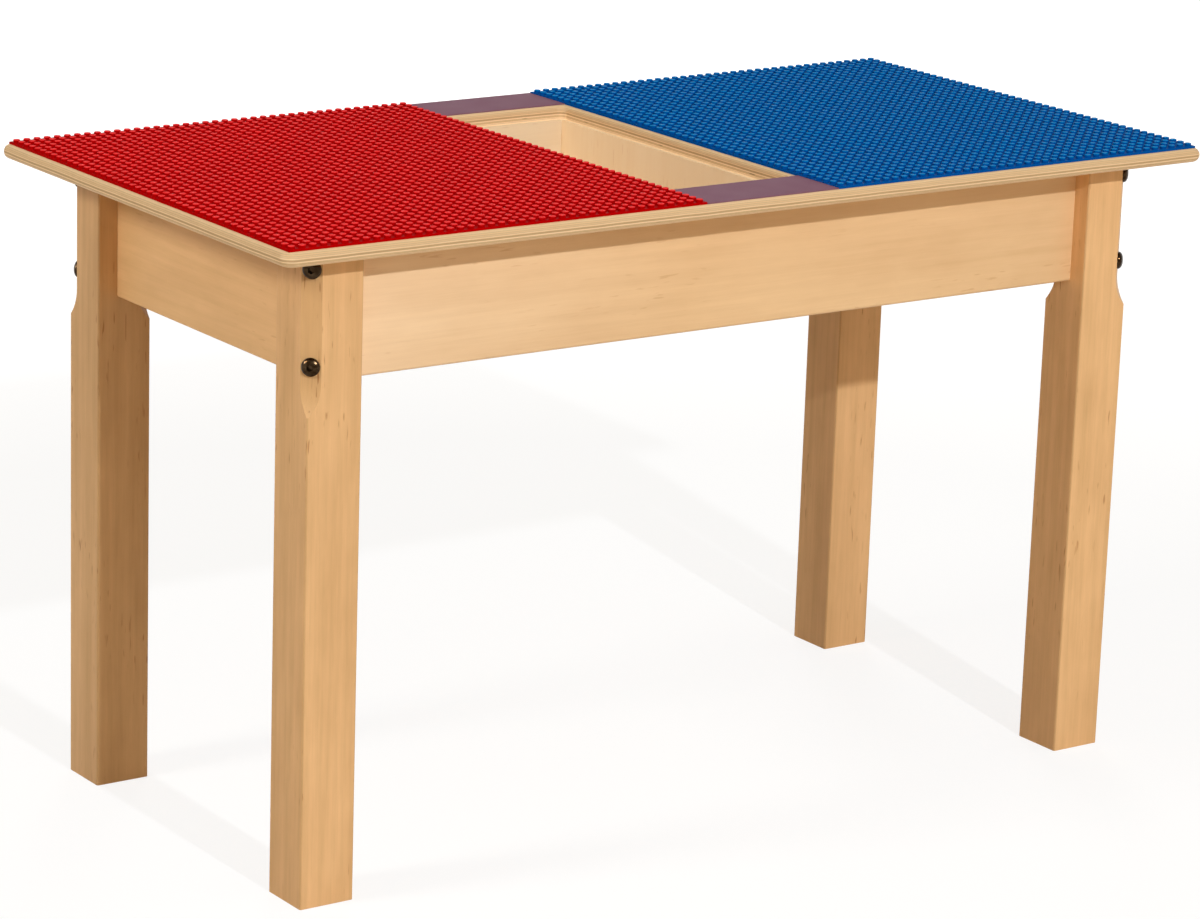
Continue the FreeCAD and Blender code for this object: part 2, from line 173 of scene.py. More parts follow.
class Bench:
    """The node tree of one material, with short calls that add nodes and join them."""

    def __init__(self, name: str) -> None:
        """Start a material with a Principled shader on Object coordinates.

        Args:
            name: The material's name.
        """
        self.material = bpy.data.materials.new(name)
        self.material.use_nodes = True
        self.tree = self.material.node_tree
        self.shader = self.tree.nodes["Principled BSDF"]
        self.place = self.add("ShaderNodeTexCoord").outputs["Object"]

    def add(self, kind: str, inputs: Inputs | None = None, **settings: Any) -> bpy.types.Node:
        """Add a node to the material."""
        return add_node(self.tree, kind, inputs, **settings)

    def coordinate(self, grain: Grain) -> Socket:
        """The place along an axis."""
        return self.add("ShaderNodeSeparateXYZ", {"Vector": self.place}).outputs[grain.value]

    def noise(self, noise: Noise, grain: Grain | None = None, offset: float = 0.0) -> Socket:
        """Fractal noise about 0.5.

        Args:
            noise: Its scale and form.
            grain: The axis that it is drawn out along, if any.
            offset: How far it is shifted along each axis, once it is drawn out.

        Returns:
            The noise's value.
        """
        place = self.place
        if grain is not None:
            mapping = {"Vector": place, "Scale": grain.stretch(noise.along),
                       "Location": (offset,) * 3}
            place = self.add("ShaderNodeMapping", mapping).outputs[0]
        inputs = {"Vector": place, "Scale": noise.scale, "Detail": noise.detail,
                  "Roughness": noise.roughness}
        return self.add("ShaderNodeTexNoise", inputs).outputs["Fac"]

    def weigh(self, noises: tuple[Noise, ...], values: list[Socket]) -> Socket:
        """A mean of 0.5 plus each noise's departure from 0.5 times its weight.

        Args:
            noises: The noises, which give the weights.
            values: The noises' values, in the same order.

        Returns:
            The weighted tone.
        """
        total: Any = 0.5 - 0.5 * sum(noise.weight for noise in noises)
        for noise, value in zip(noises, values):
            inputs = {0: value, 1: noise.weight, 2: total}
            total = self.add("ShaderNodeMath", inputs, operation="MULTIPLY_ADD").outputs[0]
        return total

    def spread(self, value: Socket, source: Band, target: Band = UNIT) -> Socket:
        """A value taken from one range to another and held inside it."""
        inputs = dict(zip(RANGE_SOCKETS, (value, *source, *target)))
        return self.add("ShaderNodeMapRange", inputs, clamp=True).outputs[0]

    def sheen(self, tone: Socket, roughness: float, swing: Band) -> Socket:
        """A roughness that swings with a tone, by so much below and above its mean."""
        return self.spread(tone, MIDDLE, (roughness + swing[0], roughness + swing[1]))

    def product(self, first: Socket, second: Socket) -> Socket:
        """Two values multiplied."""
        return self.add("ShaderNodeMath", {0: first, 1: second}, operation="MULTIPLY").outputs[0]

    def mix(self, factor: Any, first: Any, second: Any, blend: str = "MIX") -> Socket:
        """Two colours blended by a factor."""
        inputs = {0: factor, 6: opaque(first), 7: opaque(second)}
        return self.add("ShaderNodeMix", inputs, data_type="RGBA", blend_type=blend).outputs[2]

    def ramp(self, factor: Socket, stops: list[tuple[float, Colour]]) -> Socket:
        """A colour ramp.

        Args:
            factor: The value that picks the colour.
            stops: Each stop's place and colour, from low to high.

        Returns:
            The ramp's colour.
        """
        node = self.add("ShaderNodeValToRGB", {"Fac": factor})
        elements = node.color_ramp.elements
        while len(elements) < len(stops):
            elements.new(1.0)
        for element, (place, colour) in zip(elements, stops):
            element.position = place
            element.color = opaque(colour)
        return node.outputs["Color"]

    def bump(self, height: Socket, relief: Relief) -> None:
        """Raise the surface by a height."""
        inputs = {"Height": height, "Strength": relief.strength, "Distance": relief.depth}
        feed(self.tree, self.shader.inputs["Normal"], self.add("ShaderNodeBump", inputs).outputs[0])

    def finish(self, colour: Socket, roughness: Socket, specular: float = 0.5,
               metallic: float = 0.0) -> bpy.types.Material:
        """Feed the shader.

        Args:
            colour: The base colour.
            roughness: The roughness.
            specular: Strength of the gloss, 0.5 for clear glass-like plastic.
            metallic: 1 for bare metal.

        Returns:
            The finished material.
        """
        feeds = {"Base Color": colour, "Roughness": roughness, "Specular IOR Level": specular,
                 "Metallic": metallic}
        for name, value in feeds.items():
            feed(self.tree, self.shader.inputs[name], value)
        return self.material


@dataclass(frozen=True)
class Maple:
    """Lacquered maple: streaks, clouds and blotches along the grain, with short dark flecks.

    The chamfer shade darkens the faces that lie at a slant, as chamfers do: it is painted shade,
    since a chamfer gets less light than a square face. Along a tan reach, which gives two places
    along the grain, the wood turns browner. The offset takes a board from another part of the
    pattern.
    """

    name: str
    grain: Grain
    light: Colour
    dark: Colour
    fleck: float
    offset: float = 0.0
    roughness: float = 0.46
    specular: float = 0.22
    # Painted shade on chamfers: its depth, its colour, and the slant over which it grows.
    chamfer_shade_depth: float = 0.0
    chamfer_shade_colour: Colour = (0.726, 0.700, 0.643)
    chamfer_shade_band: Band = (0.15, 0.5)
    tan_reach: Band | None = None
    tan_shade: Colour = (0.893, 0.820, 0.704)
    fleck_shade: Colour = (0.70, 0.49, 0.34)
    streaks: Noise = Noise(120.0, 6.0, 0.66, along=0.035, weight=1.2)
    fibres: Noise = Noise(900.0, along=0.035, weight=0.25)
    clouds: Noise = Noise(14.0, along=0.22, weight=1.1)
    blotches: Noise = Noise(48.0, 3.0, 0.55, along=0.40, weight=0.7)
    dashes: Noise = Noise(430.0, 1.0, along=0.14)
    dash_band: Band = (0.66, 0.74)
    patches: Noise = Noise(34.0, 1.0, along=0.22)
    patch_band: Band = (0.48, 0.64)
    swing: Band = (-0.05, 0.07)
    relief: Relief = Relief(0.12, 0.0004)

    def material(self) -> bpy.types.Material:
        """Build the material.

        Returns:
            Wood whose tone is a weighted sum of noises drawn out along the grain.
        """
        bench = Bench(self.name)
        toning = (self.streaks, self.fibres, self.clouds, self.blotches)
        values = [bench.noise(noise, self.grain, self.offset) for noise in toning]
        streaks, fibres, *_ = values
        colour = bench.mix(bench.weigh(toning, values), self.light, self.dark)
        dashes = bench.noise(self.dashes, self.grain, self.offset)
        patches = bench.noise(self.patches, self.grain, self.offset)
        flecks = bench.product(bench.spread(dashes, self.dash_band),
                               bench.spread(patches, self.patch_band, (0.0, self.fleck)))
        flecked = tuple(share * part for share, part in zip(self.fleck_shade, self.dark))
        colour = bench.mix(flecks, colour, flecked)
        if self.tan_reach:
            along = bench.spread(bench.coordinate(self.grain), self.tan_reach)
            colour = bench.mix(along, colour, self.tan_shade, "MULTIPLY")
        # Painted shade: chamfers get a darker colour, as they get less light than square faces.
        if self.chamfer_shade_depth:
            colour = bench.mix(self.painted_chamfer_shade(bench), colour, self.chamfer_shade_colour, "MULTIPLY")
        bench.bump(fibres, self.relief)
        gloss = bench.sheen(streaks, self.roughness, self.swing)
        return bench.finish(colour, gloss, self.specular)

    def retoned_copy(self, mark: str, tone: float) -> "Maple":
        """The same wood made lighter or darker by a tone, which the legs use as painted light and
        shade.
        """
        light, dark = toned(self.light, tone), toned(self.dark, tone)
        return replace(self, name=f"{self.name}_{mark}", light=light, dark=dark)

    def painted_chamfer_shade(self, bench: Bench) -> Socket:
        """Painted shade on an upright face that lies at a slant, as a chamfer does.

        Args:
            bench: The material that the value goes into.

        Returns:
            From 0 on a square face to the painted shade's depth on a chamfer, by the product of the
            normal's X and Y parts.
        """
        normal = bench.add("ShaderNodeTexCoord").outputs["Normal"]
        parts = bench.add("ShaderNodeSeparateXYZ", {"Vector": normal}).outputs
        product = bench.product(parts["X"], parts["Y"])
        size = bench.add("ShaderNodeMath", {0: product}, operation="ABSOLUTE").outputs[0]
        return bench.spread(size, self.chamfer_shade_band, (0.0, self.chamfer_shade_depth))


@dataclass(frozen=True)
class Plywood:
    """A lacquered plywood sheet, whose plies and glue lines show where an edge cuts through it.

    The tones give each ply's share of the veneer's colour, from the underside up. The glue share
    is the part of a ply, at each of its faces, over which its colour runs into the glue's. The
    The gap's level is counted in plies. A gap's dark colour is painted shade inside it.
    """

    name: str
    low: float
    high: float
    veneer: Colour
    tones: tuple[float, ...]
    glue_tone: float = 0.48
    glue_share: float = 0.12
    roughness: float = 0.45
    specular: float = 0.12
    wave: Noise = Noise(24.0, along=0.2)
    wave_depth: float = 0.00045
    streaks: Noise = Noise(210.0, 4.0, 0.6, along=0.05, weight=0.9)
    specks: Noise = Noise(700.0, 2.0, 0.6, weight=0.5)
    speck_shade: Colour = (0.86, 0.82, 0.77)
    gaps: Noise = Noise(46.0, 1.0, 0.4)
    gap_band: Band = (0.68, 0.72)
    gap_depth: float = 0.75
    gap_shade: Colour = (0.20, 0.11, 0.045)
    gap_level: float = 2.35
    gap_height: float = 0.0008
    gap_blur: float = 0.0002
    swing: Band = (-0.05, 0.07)
    relief: Relief = Relief(0.10, 0.0003)

    def stops(self) -> list[tuple[float, Colour]]:
        """Colours up through the sheet.

        Returns:
            Two stops a ply and one on each glue line between plies, as place and colour.
        """
        plies = len(self.tones)
        line = self.glue_share / plies
        glue = toned(self.veneer, self.glue_tone)
        found: list[tuple[float, Colour]] = []
        for ply, tone in enumerate(self.tones):
            # A darker ply is also deeper in colour: each part is raised to a power above 1.
            colour = tuple(tone * part ** (2.0 - tone) for part in self.veneer)
            start, end = ply / plies, (ply + 1) / plies
            found += [(start + line, colour), (end - line, colour)]
            if end < 1.0:
                found.append((end, glue))
        return found

    def material(self) -> bpy.types.Material:
        """Build the material.

        Returns:
            Plies laid by height, a little wavy, with face grain along X and small gaps in one ply.
        """
        bench = Bench(self.name)
        sway = (-self.wave_depth, self.wave_depth)
        wave = bench.spread(bench.noise(self.wave, Grain.ALONG_Z), UNIT, sway)
        inputs = {0: bench.coordinate(Grain.ALONG_Z), 1: wave}
        level = bench.add("ShaderNodeMath", inputs, operation="ADD").outputs[0]
        plies = bench.ramp(bench.spread(level, (self.low, self.high)), self.stops())
        streaks, specks = bench.noise(self.streaks, Grain.ALONG_X), bench.noise(self.specks)
        tone = bench.weigh((self.streaks, self.specks), [streaks, specks])
        colour = bench.mix(1.0, plies, bench.mix(tone, WHITE, self.speck_shade), "MULTIPLY")
        # Painted shade in the gaps of one ply.
        colour = bench.mix(self.gap(bench, level), colour, self.gap_shade)
        bench.bump(specks, self.relief)
        gloss = bench.sheen(specks, self.roughness, self.swing)
        return bench.finish(colour, gloss, self.specular)

    def gap(self, bench: Bench, level: Socket) -> Socket:
        """Where the ply has a gap, painted dark as shade inside it.

        Args:
            bench: The material that the value goes into.
            level: Height, with the plies' wave.

        Returns:
            From 0 to the gap's depth, inside a band of height and where a noise is high.
        """
        low = self.low + self.gap_level * (self.high - self.low) / len(self.tones)
        high = low + self.gap_height
        above = bench.spread(level, (low, low + self.gap_blur))
        below = bench.spread(level, (high - self.gap_blur, high), (1.0, 0.0))
        found = bench.spread(bench.noise(self.gaps), self.gap_band, (0.0, self.gap_depth))
        return bench.product(bench.product(above, below), found)


@dataclass(frozen=True)
class MouldedPlastic:
    """Moulded plastic with painted light that makes the studs' tops lighter, and a deep colour on
    the studs' sides and between them that is partly the plastic's own and partly painted shade.

    The top light band is the range of height, from the studs' tops, over which the painted light
    makes the plastic lighter.
    """

    name: str
    deep: Colour
    crown: Colour
    roughness: float = 0.36
    specular: float = 0.005
    clouds: Noise = Noise(22.0, 3.0, 0.55)
    skin: Noise = Noise(650.0, 1.0)
    top_light_band: Band = (-0.0005, -0.0001)
    top_light_spread: Band = (0.80, 1.0)
    swing: Band = (-0.04, 0.05)
    relief: Relief = Relief(0.05, 0.0002)

    def material(self, crown_level: float) -> bpy.types.Material:
        """Build the material.

        Args:
            crown_level: Height of the studs' tops.

        Returns:
            Plastic with a slow change of tone, painted light on the studs' tops and a fine
            orange-peel skin.
        """
        bench = Bench(self.name)
        clouds = bench.noise(self.clouds)
        # Painted light: the studs' tops turn towards the crown colour.
        below, above = (crown_level + step for step in self.top_light_band)
        raised = bench.spread(bench.coordinate(Grain.ALONG_Z), (below, above))
        painted_top_light = bench.product(raised, bench.spread(clouds, MIDDLE, self.top_light_spread))
        colour = bench.mix(painted_top_light, self.deep, self.crown)
        bench.bump(bench.noise(self.skin), self.relief)
        gloss = bench.sheen(clouds, self.roughness, self.swing)
        return bench.finish(colour, gloss, self.specular)


@dataclass(frozen=True)
class SatinLaminate:
    """A plain laminate with a satin skin and a very fine grain in its colour."""

    name: str
    colour: Colour
    deep: Colour
    roughness: float
    specular: float
    specks: Noise = Noise(1100.0, 2.0, 0.6, weight=0.8)
    clouds: Noise = Noise(30.0, weight=0.8)
    swing: Band = (-0.05, 0.05)
    relief: Relief = Relief(0.04, 0.0002)

    def material(self) -> bpy.types.Material:
        """Build the material.

        Returns:
            Laminate with fine specks and slow clouds.
        """
        bench = Bench(self.name)
        specks, clouds = bench.noise(self.specks), bench.noise(self.clouds)
        tone = bench.weigh((self.specks, self.clouds), [specks, clouds])
        colour = bench.mix(tone, self.colour, self.deep)
        bench.bump(specks, self.relief)
        gloss = bench.sheen(clouds, self.roughness, self.swing)
        return bench.finish(colour, gloss, self.specular)


@dataclass(frozen=True)
class PlatedSteel:
    """Steel with a plated or bronzed skin, cloudy where it has been handled."""

    name: str
    colour: Colour
    worn: Colour
    roughness: float
    clouds: Noise = Noise(260.0, 4.0, 0.6)
    worn_band: Band = (0.42, 0.70)
    skin: Noise = Noise(2400.0)
    swing: Band = (-0.06, 0.10)
    relief: Relief = Relief(0.06, 0.0001)

    def material(self) -> bpy.types.Material:
        """Build the material.

        Returns:
            Metal that changes between two tones and in roughness with them.
        """
        bench = Bench(self.name)
        clouds = bench.noise(self.clouds)
        colour = bench.mix(bench.spread(clouds, self.worn_band), self.colour, self.worn)
        bench.bump(bench.noise(self.skin), self.relief)
        gloss = bench.sheen(clouds, self.roughness, self.swing)
        return bench.finish(colour, gloss, metallic=1.0)


# The legs' chamfers are darkened as painted shade.
LEG_MAPLE = Maple(
    "leg_maple", Grain.ALONG_Z, light=(0.890, 0.540, 0.258), dark=(0.625, 0.356, 0.150),
    fleck=0.8, chamfer_shade_depth=0.70)
FRONT_APRON_MAPLE = Maple(
    "front_apron_maple", Grain.ALONG_X, light=(0.990, 0.722, 0.454), dark=(0.824, 0.559, 0.325),
    fleck=0.3, offset=0.37, tan_reach=(-0.31, -0.04))
BACK_APRON_MAPLE = Maple(
    "back_apron_maple", Grain.ALONG_X, light=(0.885, 0.715, 0.495), dark=(0.778, 0.602, 0.389),
    fleck=0.3, offset=0.43)
END_APRON_MAPLE = Maple(
    "end_apron_maple", Grain.ALONG_Y, light=(0.890, 0.550, 0.265), dark=(0.700, 0.415, 0.185),
    fleck=0.4, offset=0.71)
WALL_VENEER = Maple(
    "wall_veneer", Grain.ALONG_Z, light=(0.985, 0.795, 0.548), dark=(0.930, 0.710, 0.455),
    fleck=0.25, offset=0.19)
FLOOR_VENEER = Maple(
    "floor_veneer", Grain.ALONG_Y, light=(0.930, 0.660, 0.410), dark=(0.810, 0.545, 0.315),
    fleck=0.25, offset=0.53)
UPRIGHT_BLOCK = Maple(
    "upright_block", Grain.ALONG_Z, light=(0.800, 0.510, 0.255), dark=(0.610, 0.360, 0.160),
    fleck=0.5, offset=0.11, roughness=0.62)
LONG_BLOCK = replace(UPRIGHT_BLOCK, name="long_block", grain=Grain.ALONG_X, offset=0.83)
# Crown colours are painted light on stud tops; deep colours are partly painted shade below them.
RED_PLASTIC = MouldedPlastic(
    "red_plastic", deep=(0.440, 0.0005, 0.001), crown=(0.940, 0.036, 0.038))
BLUE_PLASTIC = MouldedPlastic(
    "blue_plastic", deep=(0.0005, 0.080, 0.335), crown=(0.001, 0.222, 0.575))
MAUVE_LAMINATE = SatinLaminate(
    "mauve_laminate", colour=(0.230, 0.103, 0.150), deep=(0.210, 0.092, 0.137),
    roughness=0.50, specular=0.03)
BRONZED_STEEL = PlatedSteel(
    "bronzed_steel", colour=(0.024, 0.0120, 0.0050), worn=(0.072, 0.045, 0.024), roughness=0.17)
ZINC_STEEL = PlatedSteel(
    "zinc_steel", colour=(0.560, 0.560, 0.550), worn=(0.430, 0.430, 0.420), roughness=0.34)


def new_surface(name: str, points: np.ndarray, faces: Faces, slot: str) -> bpy.types.Object:
    """Make a mesh object that rides on the table.

    Args:
        name: The piece's name.
        points: One row of three coordinates for each vertex.
        faces: Vertex numbers of each face, turning left seen from outside.
        slot: The record's material slot for the piece's finish; it is not used.

    Returns:
        The object, at the origin and unturned, smooth but for its sharp edges.
    """
    mesh = bpy.data.meshes.new(name)
    mesh.from_pydata(points.tolist(), [], faces)
    mesh.polygons.foreach_set("use_smooth", np.ones(len(mesh.polygons), bool))
    mesh.set_sharp_from_angle(angle=SHARP_ANGLE)
    mesh.update()
    piece = bpy.data.objects.new(name, mesh)
    bpy.context.scene.collection.objects.link(piece)
    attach(piece, BODY)
    log.info("%s: %d faces", name, len(mesh.polygons))
    return piece


def ring_quads(rings: int, around: int) -> np.ndarray:
    """Quads of a grid of closed rings: each joins two points of a ring to the two above them.

    Args:
        rings: Number of rings, laid one after another.
        around: Points in a ring.

    Returns:
        An array of four vertex numbers a row.
    """
    ring, step = np.meshgrid(np.arange(rings - 1), np.arange(around), indexing="ij")
    start, after = ring * around, (step + 1) % around
    corners = (start + step, start + after, start + around + after, start + around + step)
    return np.stack(corners, axis=-1).reshape(-1, 4)


def merged(points: np.ndarray, faces: list[np.ndarray]) -> tuple[np.ndarray, Faces]:
    """Join the vertices that lie at the same place.

    Args:
        points: One row of three coordinates for each vertex.
        faces: Vertex numbers of each face.

    Returns:
        The vertices that are left, and the faces with their new numbers.
    """
    steps = np.round(points / MERGE_STEP).astype(np.int64)
    _, first, number = np.unique(steps, axis=0, return_index=True, return_inverse=True)
    number = number.reshape(-1)
    return points[first], [number[face].tolist() for face in faces]


def dress(node: str, material: bpy.types.Material) -> None:
    """Give a CAD node a finish in place of its plain one.

    Args:
        node: The node's name.
        material: Its finish.
    """
    mesh = bpy.data.objects[node].data
    mesh.materials.clear()
    mesh.materials.append(material)
    log.info("%s: %s", node, material.name)


@dataclass
class StuddedPlate:
    """A moulded plate with a stud on each cell of a square grid, in place of its CAD slab."""

    node: str
    slot: str
    columns: int = 41
    rows: int = 24
    pitch: float = 0.008
    stud_radius: float = 0.00245
    stud_height: float = 0.0018
    stud_bevel: float = 0.00025
    edge_bevel: float = 0.0003
    around: int = 16

    def crown_level(self) -> float:
        """Height of the studs' tops."""
        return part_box(self.node)[1].z + self.stud_height

    def cell_rings(self, top: float) -> np.ndarray:
        """One cell as rings about its middle.

        They are the cell's square, the stud's foot, its shoulder and its top. The square's points
        lie where rays at equal angles meet it, so that neighbours share them.

        Args:
            top: Height of the plate's face.

        Returns:
            Rings, then points round a ring, then coordinates.
        """
        angle = np.arange(self.around) * 2 * math.pi / self.around
        ray = np.stack([np.cos(angle), np.sin(angle)], axis=-1)
        square = ray / np.abs(ray).max(axis=1, keepdims=True) * self.pitch / 2
        crown = self.stud_radius - self.stud_bevel
        flat = np.stack([square, ray * self.stud_radius, ray * self.stud_radius, ray * crown])
        heights = np.array([0.0, 0.0, self.stud_height - self.stud_bevel, self.stud_height]) + top
        raised = np.broadcast_to(heights[:, None, None], (len(heights), self.around, 1))
        return np.concatenate([flat, raised], axis=-1)

    def cells(self, half: np.ndarray, top: float) -> np.ndarray:
        """Every cell's rings in its place, held inside the plate's bevelled border.

        Args:
            half: Half the plate's length and width.
            top: Height of the plate's face.

        Returns:
            Cells, then rings, then points round a ring, then coordinates from the plate's middle.
        """
        column, row = np.meshgrid(np.arange(self.columns), np.arange(self.rows), indexing="ij")
        steps = np.stack([column - (self.columns - 1) / 2, row - (self.rows - 1) / 2], axis=-1)
        middles = steps.reshape(-1, 2) * self.pitch
        cell = self.cell_rings(top)
        cells = np.broadcast_to(cell, (len(middles), *cell.shape)).copy()
        cells[..., :2] += middles[:, None, None, :]
        border = half - self.edge_bevel
        cells[..., :2] = np.clip(cells[..., :2], -border, border)
        return cells

    def rim(self, half: np.ndarray, inset: float, height: float) -> np.ndarray:
        """The plate's outline as one ring through the cells' own points, held inside a border.

        A cell's side, without its last corner, has a quarter of the points of the cell's square.

        Args:
            half: Half the plate's length and width.
            inset: How far the border lies inside the plate's sides.
            height: Height of the ring.

        Returns:
            One row of three coordinates for each point.
        """
        angle = np.arange(self.around // 4) * 2 * math.pi / self.around - math.pi / 4
        share = np.tan(angle) / 2
        lines = []
        for count in (self.columns, self.rows):
            cells = np.arange(count) - (count - 1) / 2
            lines.append(np.append((cells[:, None] + share).ravel(), count / 2) * self.pitch)
        along, across = lines
        long_side, short_side = np.ones(len(along) - 1), np.ones(len(across) - 1)
        x = [along[:-1], short_side * along[-1], along[:0:-1], short_side * along[0]]
        y = [long_side * across[0], across[:-1], long_side * across[-1], across[:0:-1]]
        outline = np.stack([np.concatenate(x), np.concatenate(y)], axis=-1)
        limit = half - inset
        flat = np.clip(outline, -limit, limit)
        return np.column_stack([flat, np.full(len(flat), height)])

    def build(self) -> bpy.types.Object:
        """Build the plate where its CAD slab lies.

        Returns:
            One closed surface: a studded face, bevelled sides and a flat underside.
        """
        low, high = (np.array(corner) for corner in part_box(self.node))
        half, bottom, top = (high - low)[:2] / 2, low[2], high[2]
        cells = self.cells(half, top)
        count, rings = cells.shape[:2]
        size = rings * self.around
        start = np.arange(count)[:, None, None] * size
        quads = (ring_quads(rings, self.around)[None] + start).reshape(-1, 4)
        crowns = (np.arange(size - self.around, size)[None] + start[:, 0]).reshape(-1, self.around)
        bevel = self.edge_bevel
        rims = [self.rim(half, bevel, top), self.rim(half, 0.0, top - bevel),
                self.rim(half, 0.0, bottom)]
        points = np.concatenate([cells.reshape(-1, 3), *rims])
        points[:, :2] += (low + high)[:2] / 2
        skirt = ring_quads(len(rims), len(rims[0]))[:, ::-1] + count * size
        under = np.arange(len(points) - len(rims[-1]), len(points))[::-1]
        faces = [*quads, *crowns, *skirt, under]
        piece = new_surface(f"{self.node}_studs", *merged(points, faces), self.slot)
        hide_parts(self.node)
        return piece

    def dress(self, piece: bpy.types.Object, material: bpy.types.Material) -> None:
        """Give the plate its plastic."""
        piece.data.materials.append(material)


@dataclass
class LegBolts:
    """Two button-head socket bolts through each leg's outer chamfer, in place of the CAD solids."""

    node: str = "leg_bolts"
    slot: str = "bronzed_steel"
    chamfer_cut: float = 0.010
    shank_radius: float = 0.003
    shank_length: float = 0.0604
    tip_bevel: float = 0.0007
    head_radius: float = 0.00635
    head_rim: float = 0.0007
    dome_rise: float = 0.0033
    crown_radius: float = 0.0029
    socket_half: float = 0.002
    socket_depth: float = 0.0030
    socket_bevel: float = 0.00018
    socket_floor: float = 0.0005
    dome_steps: int = 10
    around: int = 48

    def profile(self) -> tuple[np.ndarray, np.ndarray, np.ndarray]:
        """The bolt's rings from its tip to the floor of its socket.

        Up to the crown a ring is round. Past it a ring is a hexagon, whose radius at an angle is
        its half width over the cosine of the angle to the nearest flat's middle.

        Returns:
            Each ring's place along the bolt from its seat, its radius, and whether it is a
            hexagon, as 0 or 1.
        """
        last = math.acos(self.crown_radius / self.head_radius)
        sweep = np.linspace(0.0, last, self.dome_steps)
        dome_at = self.head_rim + self.dome_rise * np.sin(sweep)
        dome_radius = self.head_radius * np.cos(sweep)
        crown = dome_at[-1]
        tip = self.shank_radius - self.tip_bevel
        mouth = self.socket_half + self.socket_bevel
        floor = crown - self.socket_depth
        shank_at = [-self.shank_length, self.tip_bevel - self.shank_length, 0.0, 0.0]
        shank_radius = [tip, self.shank_radius, self.shank_radius, self.head_radius]
        socket_at = [crown, crown - self.socket_bevel, floor, floor]
        socket_radius = [mouth, self.socket_half, self.socket_half, self.socket_floor]
        at = np.concatenate([shank_at, dome_at, socket_at])
        radius = np.concatenate([shank_radius, dome_radius, socket_radius])
        round_rings = len(shank_at) + self.dome_steps
        hexagon = np.concatenate([np.zeros(round_rings), np.ones(len(socket_at))])
        return at, radius, hexagon

    def build(self) -> bpy.types.Object:
        """Build the eight bolts on the legs' diagonals.

        Returns:
            One object of eight closed surfaces.
        """
        low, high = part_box(self.node)
        at, radius, hexagon = self.profile()
        angle = np.arange(self.around) * 2 * math.pi / self.around
        to_flat = np.remainder(angle + math.pi / 6, math.pi / 3) - math.pi / 6
        grow = 1.0 + hexagon[:, None] * (1.0 / np.cos(to_flat) - 1.0)
        side = radius[:, None] * grow
        sideways, upwards = side * np.cos(angle), side * np.sin(angle)
        quads = ring_quads(len(at), self.around)
        size = len(at) * self.around
        up = np.array([0.0, 0.0, 1.0])
        points, faces = [], []
        for corner, (sx, sy) in CORNERS.items():
            leg_low, leg_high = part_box(f"leg_{corner}")
            seat = (leg_high.x - leg_low.x - self.chamfer_cut) / math.sqrt(2)
            outward = np.array([sx, sy, 0.0]) / math.sqrt(2)
            level = np.array([-sy, sx, 0.0]) / math.sqrt(2)
            for height in (low.z + self.head_radius, high.z - self.head_radius):
                middle = np.array([(leg_low.x + leg_high.x) / 2,
                                   (leg_low.y + leg_high.y) / 2, height])
                bolt = (middle + (seat + at)[:, None, None] * outward
                        + sideways[..., None] * level + upwards[..., None] * up)
                start = len(points) * size
                faces += [*(quads + start), start + np.arange(self.around)[::-1],
                          start + np.arange(size - self.around, size)]
                points.append(bolt.reshape(-1, 3))
        numbers = [face.tolist() for face in faces]
        piece = new_surface("button_head_bolts", np.concatenate(points), numbers, self.slot)
        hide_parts(self.node)
        return piece

    def dress(self, piece: bpy.types.Object, material: bpy.types.Material) -> None:
        """Give the bolts their bronzed skin."""
        piece.data.materials.append(material)


@dataclass
class StudFields:
    """Both fields of studded plates, two plates of each colour."""

    plastics: tuple[tuple[str, MouldedPlastic], ...] = (("red", RED_PLASTIC),
                                                        ("blue", BLUE_PLASTIC))

    def build(self) -> None:
        """Build and dress the four plates."""
        for colour, plastic in self.plastics:
            plates = [StuddedPlate(f"{colour}_plate_{end}", f"{colour}_plastic") for end in ENDS]
            material = plastic.material(plates[0].crown_level())
            for plate in plates:
                plate.dress(plate.build(), material)


@dataclass
class WoodenFrame:
    """The CAD frame's own pieces: legs, aprons, braces, blocks, cleats and insert nuts.

    Each leg's wood is made lighter or darker by its tone, as painted light and shade: the back legs
    are darker and the front right leg lighter. The tones follow the order of the corners.
    """

    # Painted light and shade on each leg, as a tone of the leg wood.
    leg_shade_tones: tuple[float, ...] = (1.0, 1.06, 0.97, 0.87)

    def dress(self) -> None:
        """Give each wooden piece wood with its grain along it, and the nuts their plating."""
        blocks, cleats = UPRIGHT_BLOCK.material(), LONG_BLOCK.material()
        for corner, tone in zip(CORNERS, self.leg_shade_tones):
            dress(f"leg_{corner}", LEG_MAPLE.retoned_copy(corner, tone).material())
            dress(f"corner_brace_{corner}", blocks)
            dress(f"well_block_{corner}", blocks)
            dress(f"top_cleat_{corner}", cleats)
        dress("apron_front", FRONT_APRON_MAPLE.material())
        dress("apron_back", BACK_APRON_MAPLE.material())
        end_aprons = END_APRON_MAPLE.material()
        for side in SIDES:
            dress(f"apron_{side}", end_aprons)
        dress("insert_nuts", ZINC_STEEL.material())


@dataclass
class TopAndWell:
    """The plywood top with its bare strips, and the storage well under it."""

    veneer: Colour = (0.860, 0.605, 0.350)
    # The lowest two tones are raised partly as painted light against shade on the rounded lower
    # edge.
    ply_tones: tuple[float, ...] = (1.18, 1.08, 0.89, 1.11, 0.72, 1.01, 0.89, 0.91, 0.99)

    def dress(self) -> None:
        """Give the sheet its plies, the strips their laminate and the well its veneers."""
        low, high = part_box("table_top")
        sheet = Plywood("plywood", low.z, high.z, self.veneer, self.ply_tones)
        dress("table_top", sheet.material())
        laminate, walls = MAUVE_LAMINATE.material(), WALL_VENEER.material()
        for end in ENDS:
            dress(f"centre_strip_{end}", laminate)
        for side in SIDES:
            dress(f"well_side_{side}", walls)
        dress("well_floor", FLOOR_VENEER.material())


